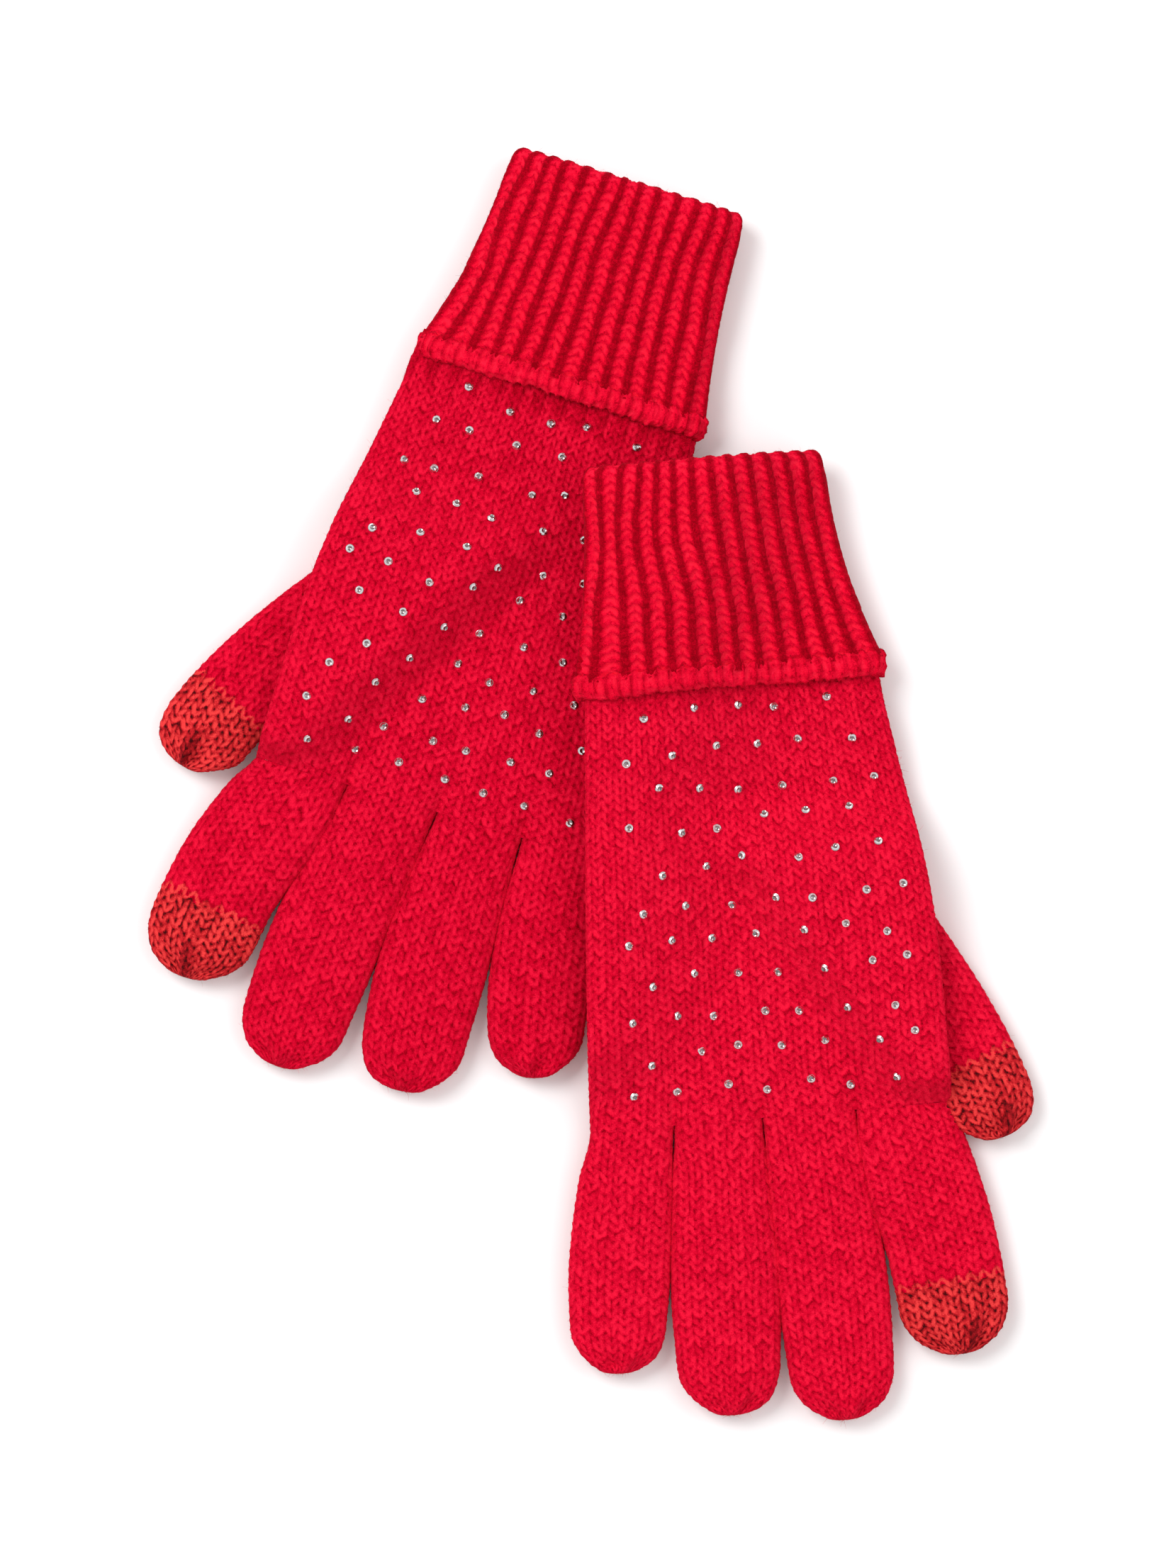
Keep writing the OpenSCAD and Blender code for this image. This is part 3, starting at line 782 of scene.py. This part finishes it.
def hand_rows(glove, digits, top):
    """Grid of points over the back (top) or the palm of the hand, from the fingers to under the cuff."""
    total = digits[0].flank / 2 + sum(d.top for d in digits) + digits[3].flank / 2
    w = np.arange(int(round(total * ACROSS)) + 1) / ACROSS
    end = glove.hand_len + UNDER_CUFF
    rows = int(round(end / COURSE)) * ALONG
    v = np.linspace(0, end, rows + 1)
    to_shared = root_row(digits, top) - hand_section(glove, 0.0, w, total, top)
    sections = []
    for x in v:
        plain = hand_section(glove, x, w, total, top)
        sections.append(plain + to_shared * (1 - float(ease(0, CREASE, x))))
    points = np.stack(sections)
    uu, vv = points[..., 0], points[..., 1]
    broad = noise(uu / 19, vv / 23, 31 + glove.number)
    swell = 0.45 * broad + 0.25 * noise(uu / 8, vv / 9, 32 + glove.number)
    points[..., 2] += swell * ease(0, 10, vv) * (1 if top else 0.3)
    return points, w, v


def make_hand(glove, digits):
    """The back and the palm, which start at the fingers' first rows. Keeps the back for the stones."""
    for top in (True, False):
        points, w, v = hand_rows(glove, digits, top)
        grid = points.shape[:2]
        ww, cc = np.broadcast_to(w, grid), np.broadcast_to(-v[:, None] / COURSE, grid)
        # Under the cuff every second stitch sinks, where the rib runs out; its colour is also darkened
        # there, painted shade.
        odd = np.mod(np.floor(ww), 2)
        deep = 0.75 if glove.side == "left" else 0.4
        ribbed = deep * ease(glove.hand_len - 8, glove.hand_len + 1, points[..., 1]) * odd
        n = normals(points, False) * (-1 if top else 1)
        height, _, luck = plain_knit(ww, cc, 5 + glove.number if top else 7 + glove.number)
        facing = np.abs(n[..., 2])
        out = points + n * (YARN * (0.45 + 0.55 * facing) * (height - 0.6) - 1.1 * ribbed)[..., None]
        marks = knit_attributes(on_flank(height, facing) * (1 - 0.75 * ribbed), luck)
        name = f"{glove.side}_{'back' if top else 'palm'}_knit"
        piece = grid_piece(name, glove, out, None, marks, (ww, cc), RED[glove.side], n, turned=top)
        finish_piece(piece, glove.body, "red_knit", f"{glove.side}_hand")
        if top:
            glove.back = out.reshape(-1, 3)


def cuff_section(glove, v, w, edges, half_z):
    """A closed row of points round the cuff at v, for rib numbers w."""
    seam = 0.3  # where the first rib starts, in ribs from the little-finger side
    left, right = edges
    x, z, share = section((right - left) / 2, half_z, half_z, 3.4)
    f = np.mod((w + seam) / RIBS, 1.0)
    xs, zs = np.interp(f, share, x) + (left + right) / 2, np.interp(f, share, z)
    vs = np.full_like(xs, v)
    return np.column_stack([xs, vs, glove.cuff_z + zs + glove.cuff_lift(xs, vs)])


def make_cuff(glove):
    """The turned-back rib with its rolled fold, running on inside as the inner tube."""
    columns = 14  # mesh columns a rib
    w = np.arange(RIBS * columns + 1) / columns
    start, end = glove.hem_start + HEM_H - 2.0, glove.cuff_end
    fold = 2.6  # how far the fold rolls back
    inset = 0.9  # how far the knit's middle lies inside the CAD's outline
    outer = np.linspace(start, end - fold, int((end - fold - start) / RIB_COURSE * ALONG) + 1)
    roll = np.linspace(0, np.pi, 15)[1:-1]
    inner = np.linspace(end - fold, glove.hand_len - 3, 60)
    rows, course = [], []
    out_z, in_z = glove.cuff_half - inset, glove.cuff_inner - 1.7
    shrink = glove.cuff_half - glove.cuff_inner + 1.0
    for v in outer:
        a, b = glove.cuff_edges(v)
        rows.append(cuff_section(glove, v, w, (a + inset, b - inset), out_z))
        course.append((v - start) / RIB_COURSE)
    a, b = glove.cuff_edges(end)
    for t in roll:
        k = (1 - math.cos(t)) / 2
        edges = (a + inset + shrink * k, b - inset - shrink * k)
        half_z = out_z + (in_z - out_z) * k
        rows.append(cuff_section(glove, end - fold + fold * math.sin(t), w, edges, half_z))
        course.append(course[-1] + fold * np.pi / 14 / RIB_COURSE * 1.2)
    for v in inner:
        a, b = glove.cuff_edges(max(v, glove.hem_start + HEM_H))
        rows.append(cuff_section(glove, v, w, (a + inset + shrink, b - inset - shrink), in_z))
        course.append(course[-1] + (inner[0] - inner[1]) / RIB_COURSE)
    points, course = np.stack(rows), np.array(course)
    grid = points.shape[:2]
    ww, cc = np.broadcast_to(w, grid), np.broadcast_to(course[:, None], grid)
    height, luck = rib_knit(ww, cc, 21 + glove.number)
    inside = np.arange(len(rows)) >= len(outer) + len(roll) // 2
    top = (points[:, :, 1].mean(1) - (end - 9)) / 9
    amp = np.where(inside, 0.8, 1.75 - 0.85 * ease(0, 1, top))[:, None]
    n = -normals(points, True)
    out = points + n * (amp * (height - 0.75))[..., None]
    out[:, -1] = out[:, 0]
    split = len(outer) + len(roll)
    layers = (
        ("turnback", slice(0, split + 1), "cuff_turnback"),
        ("inner_rib", slice(split, len(rows)), "cuff"),
    )
    for name, part, node in layers:
        # The rib's heights also set its colour: painted shade in the sunk columns and between the stitches.
        marks, knit = knit_attributes(height[part], luck[part]), (ww[part], cc[part])
        full_name = f"{glove.side}_{name}_knit"
        piece = grid_piece(full_name, glove, out[part], None, marks, knit, RIB, n[part], turned=True)
        finish_piece(piece, glove.body, "red_rib", f"{glove.side}_{node}")


def make_hem(glove):
    """The bound edge: a puffy band of close stitches, two to every rib."""
    columns = 20  # mesh columns a rib
    w = np.arange(RIBS * columns + 1) / columns
    turns = np.linspace(0, 2 * np.pi, 37)
    a, b = glove.cuff_edges(glove.hem_start + HEM_H)
    rows = []
    for t in turns:
        v = glove.hem_start + HEM_H / 2 - HEM_H / 2 * math.cos(t)
        push = 1.2 * HEM_T / 2 * math.copysign(abs(math.sin(t)) ** 0.55, math.sin(t)) - 0.2
        edges = (a - push + 0.4, b + push - 0.4)
        rows.append(cuff_section(glove, v, w, edges, glove.cuff_half - 0.9 + push))
    points = np.stack(rows)
    ww = np.broadcast_to(w, points.shape[:2])
    tt = np.broadcast_to(turns[:, None], points.shape[:2])
    edge = noise(ww * 0.9, 0 * ww + 2.5, 57 + glove.number) + 0.6 * noise(ww * 2.1, 0 * ww + 7.5, 58)
    points[..., 1] += 0.55 * edge * np.clip(np.cos(tt) + 0.4, 0, 1)
    points[..., 2] += 0.25 * noise(ww * 1.3, tt * 0.4, 59)
    stitch, row = ww * 2 + 0.15 * np.sin(tt), tt * 6 / (2 * np.pi)
    close = {"lean": 0.35, "half_len": 1.65, "half_wid": 1.15, "wander": 1.7}
    bump, _, luck = plain_knit(stitch, row, 51 + glove.number, **close)
    puff = np.abs(np.sin(np.pi * (ww * 2 + 0.2 * noise(ww * 1.1, tt * 0.3, 61)))) ** 0.5
    n = -normals(points, True)
    out = points + n * (0.9 * (bump - 0.6) + 0.9 * (puff - 0.7))[..., None]
    out[:, -1] = out[:, 0]
    out[-1] = out[0]
    # Painted shade: the band is darker between its stitches and between its puffs.
    marks = knit_attributes((0.22 + 0.63 * bump) * (0.35 + 0.65 * puff), luck)
    name = f"{glove.side}_hem_knit"
    piece = grid_piece(name, glove, out, None, marks, (ww * 2, tt), RIB, n, turned=True)
    finish_piece(piece, glove.body, "red_rib", f"{glove.side}_cuff_hem")


def stone_spots(glove):
    """Middle of each stone in the CAD, found as groups of near points."""
    left = glove.node("crystals")
    spots = []
    while len(left):
        near = np.linalg.norm(left - left[0], axis=1) < 2.6
        spots.append(left[near].mean(0))
        left = left[~near]
    return spots


class Stone:
    """Where a stone sits: its middle on the knit, the way it leans and how it is turned."""

    def __init__(self, glove, number, spot):
        r = [float(cell_random(np.float64(number), np.float64(k), 90 + glove.number)) for k in range(4)]
        u, v = spot[0], spot[1]
        du = float(glove.lift(np.array(u + 2), np.array(v)) - glove.lift(np.array(u - 2), np.array(v))) / 4
        dv = float(glove.lift(np.array(u), np.array(v + 2)) - glove.lift(np.array(u), np.array(v - 2))) / 4
        self.up = Vector((-du + 0.07 * r[0], -dv + 0.07 * r[1], 1)).normalized()
        self.side = self.up.cross(Vector((0, 1, 0))).normalized()
        self.ahead = self.up.cross(self.side)
        self.turn = r[2] * math.pi
        near = glove.back[np.hypot(glove.back[:, 0] - u, glove.back[:, 1] - v) < 1.1][:, 2]
        self.centre = Vector((u, v, float(np.percentile(near, 75)))) + self.up * (0.08 + 0.1 * r[3])

    def ring(self, radius, height, shift=0.0):
        """Corners round the stone, turned on by shift of a facet."""
        corners = []
        for k in range(FACETS):
            angle = self.turn + 2 * math.pi * (k + shift) / FACETS
            out = self.side * radius * math.cos(angle)
            corners.append(self.centre + out + self.ahead * radius * math.sin(angle) + self.up * height)
        return corners


def add_rings(store, rings, close=None):
    """Joins the rings with faces, and closes the last one with a point in its middle if one is given."""
    verts, faces = store
    base = len(verts)
    for points in rings:
        verts.extend(tuple(p) for p in points)
    for level in range(len(rings) - 1):
        for k in range(FACETS):
            a, b = base + level * FACETS + k, base + level * FACETS + (k + 1) % FACETS
            faces.append((a, b, b + FACETS, a + FACETS))
    if close is not None:
        verts.append(tuple(close))
        last = base + (len(rings) - 1) * FACETS
        for k in range(FACETS):
            faces.append((last + k, last + (k + 1) % FACETS, len(verts) - 1))


def make_stones(glove):
    """The stones with their sunk hearts and the foils under them, seated on the finished knit."""
    crown, heart, foil = ([], []), ([], []), ([], [])
    for number, spot in enumerate(stone_spots(glove)):
        stone = Stone(glove, number, spot)
        middle = stone.centre
        girdle = [stone.ring(0.98, -0.05), stone.ring(1.0, 0.22)]
        add_rings(crown, girdle + [stone.ring(0.66, 0.52, 0.5)])
        hollow = [stone.ring(0.67, 0.50, 0.5), stone.ring(0.36, 0.36)]
        add_rings(heart, hollow, middle + stone.up * 0.30)
        cup = [stone.ring(1.02, -0.4), stone.ring(1.13, -0.12), stone.ring(0.97, 0.0)]
        add_rings(foil, cup, middle)
    for name, store, material in (("crystal_crowns", crown, SILVER), ("crystal_hearts", heart, DARK)):
        piece = solid_piece(f"{glove.side}_{name}", glove, *store, material)
        finish_piece(piece, glove.body, "crystal", f"{glove.side}_crystals")
    piece = solid_piece(f"{glove.side}_stone_foils", glove, *foil, FOIL)
    finish_piece(piece, glove.body, "stone_foil", f"{glove.side}_crystal_pads")


def make_glove(side):
    glove = Glove(side)
    digits = [Digit(glove, name) for name in FINGERS]
    for digit in digits:
        digit.first_row = make_digit(glove, digit)[0]
    make_digit(glove, Digit(glove, "thumb"))
    make_hand(glove, digits)
    make_cuff(glove)
    make_hem(glove)
    make_stones(glove)


# ---- Camera, floor and light ----
def make_camera():
    data = bpy.data.cameras.new("camera")
    camera = collection_link(bpy.data.objects.new("camera", data))
    distance, view_height = 1.35, 0.4150  # metres
    data.sensor_width = 36.0
    data.lens = 36.0 * distance / view_height
    camera.location = (-0.00168, -0.00007, distance + 0.006)
    bpy.context.scene.camera = camera


def make_floor():
    mesh = bpy.data.meshes.new("floor")
    size = 3.0
    corners = [(-size, -size, 0), (size, -size, 0), (size, size, 0), (-size, size, 0)]
    mesh.from_pydata(corners, [], [(0, 1, 2, 3)])
    floor = collection_link(bpy.data.objects.new("floor", mesh))
    floor.location.z = -0.0004
    material, _, _, shader = principled("floor")
    set_inputs(shader, {"Base Color": (0.93, 0.93, 0.93, 1), "Roughness": 0.9})
    mesh.materials.append(material)


def make_light():
    world = bpy.data.worlds.new("studio")
    bpy.context.scene.world = world
    world.use_nodes = True
    set_inputs(world.node_tree.nodes["Background"], {"Color": (1, 1, 1, 1), "Strength": 0.75})
    lamps = (
        ("key", (-0.9, 0.7, 1.5), 0.9, 20.0),
        ("fill", (1.1, 0.2, 1.3), 1.2, 6.0),
    )
    for name, place, size, power in lamps:
        data = bpy.data.lights.new(name, "AREA")
        data.size, data.energy = size, power
        light = collection_link(bpy.data.objects.new(name, data))
        light.location = place
        light.rotation_euler = (Vector((0, 0, 0)) - Vector(place)).to_track_quat("-Z", "Y").to_euler()
    bpy.context.scene.view_settings.view_transform = "Standard"


make_camera()
make_floor()
make_light()
for side in SIDES:
    make_glove(side)
